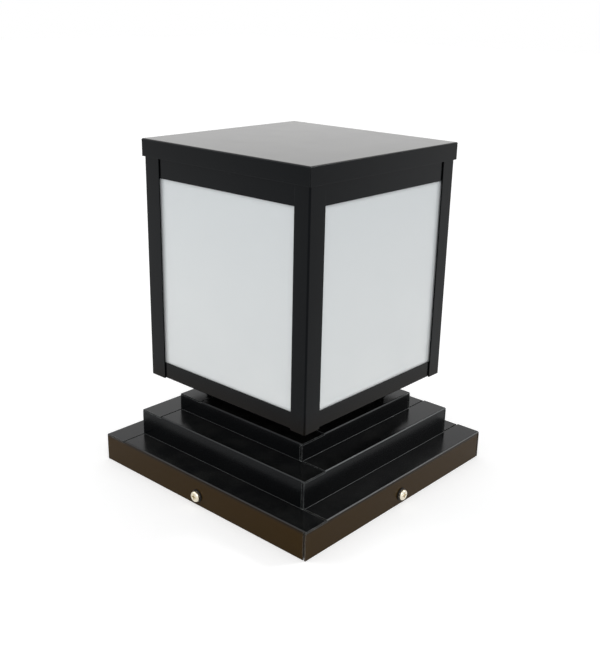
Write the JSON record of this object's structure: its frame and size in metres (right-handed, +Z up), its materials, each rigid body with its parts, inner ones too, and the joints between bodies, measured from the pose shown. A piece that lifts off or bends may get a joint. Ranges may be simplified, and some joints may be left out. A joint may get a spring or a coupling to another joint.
{
  "type": "pillar light",
  "caption": "Square pillar light for the top of a gate post: stepped sheet metal base, short neck and a box lantern with opal panels under a lift-off cap.",
  "frame": {"origin": "centre of the square base, on the plane that it stands on", "axes": "+Z up; the front side of the light is -Y and its right side is +X; all four sides are alike"},
  "size_m": [0.258, 0.258, 0.301],
  "materials": {
    "black_coat": "gloss black powder coat on steel sheet",
    "opal_acrylic": "opal white acrylic sheet",
    "zinc_steel": "zinc plated steel",
    "nickel_screw": "nickel plated steel",
    "brass": "plain brass",
    "black_rubber": "moulded rubber",
    "cream_plastic": "moulded nylon",
    "brown_sleeve": "brown lead insulation",
    "blue_sleeve": "blue lead insulation",
    "green_sleeve": "green and yellow lead insulation",
    "glazed_ceramic": "glazed white porcelain",
    "black_glass": "black moulded insulator",
    "white_plastic": "white plastic over aluminium",
    "board_white": "white solder resist",
    "opal_dome": "frosted white plastic"
  },
  "bodies": {
    "base": {"base_strip_front": "black_coat", "base_strip_right": "black_coat", "base_strip_back": "black_coat", "base_strip_left": "black_coat", "top_plate": "black_coat", "neck": "black_coat", "mounting_pan": "zinc_steel", "clinch_nuts": "zinc_steel", "screw_washers": "black_rubber", "cable_bush": "black_rubber", "terminal_block": "cream_plastic", "terminal_inserts": "brass", "terminal_screws": "zinc_steel", "block_screws": "zinc_steel", "earth_stud": "zinc_steel", "earth_nuts": "zinc_steel", "earth_lug": "zinc_steel", "lead_live": "brown_sleeve", "lead_neutral": "blue_sleeve", "lead_earth": "green_sleeve", "lantern_tray": "black_coat", "corner_post_front_right": "black_coat", "corner_post_back_right": "black_coat", "corner_post_back_left": "black_coat", "corner_post_front_left": "black_coat", "top_rail_front": "black_coat", "top_rail_right": "black_coat", "top_rail_back": "black_coat", "top_rail_left": "black_coat", "panel_front": "opal_acrylic", "panel_right": "opal_acrylic", "panel_back": "opal_acrylic", "panel_left": "opal_acrylic", "panel_retainers": "zinc_steel", "retainer_rivets": "zinc_steel", "centre_tube": "zinc_steel", "tube_nuts": "zinc_steel", "tube_washers": "zinc_steel", "holder_shell": "glazed_ceramic", "holder_insert": "glazed_ceramic", "holder_sleeve": "brass", "holder_contact": "brass", "holder_terminals": "brass"},
    "cap": {"cap": "black_coat"},
    "bulb": {"bulb_cap_shell": "zinc_steel", "bulb_insulator": "black_glass", "bulb_tip": "brass", "bulb_housing": "white_plastic", "led_board": "board_white", "bulb_dome": "opal_dome"},
    "side_screw_front": {"side_screw_front": "nickel_screw"},
    "side_screw_right": {"side_screw_right": "nickel_screw"},
    "side_screw_back": {"side_screw_back": "nickel_screw"},
    "side_screw_left": {"side_screw_left": "nickel_screw"}
  },
  "joints": [
    {"name": "cap_lift", "type": "slide", "parent": "base", "child": "cap", "axis": [0, 0, 1], "range_m": [0, 0.06]},
    {"name": "bulb_unscrew", "type": "slide", "parent": "base", "child": "bulb", "axis": [0, 0, 1], "range_m": [0, 0.024]},
    {"name": "screw_front_out", "type": "slide", "parent": "base", "child": "side_screw_front", "axis": [0, -1, 0], "range_m": [0, 0.01]},
    {"name": "screw_right_out", "type": "slide", "parent": "base", "child": "side_screw_right", "axis": [1, 0, 0], "range_m": [0, 0.01]},
    {"name": "screw_back_out", "type": "slide", "parent": "base", "child": "side_screw_back", "axis": [0, 1, 0], "range_m": [0, 0.01]},
    {"name": "screw_left_out", "type": "slide", "parent": "base", "child": "side_screw_left", "axis": [-1, 0, 0], "range_m": [0, 0.01]}
  ]
}
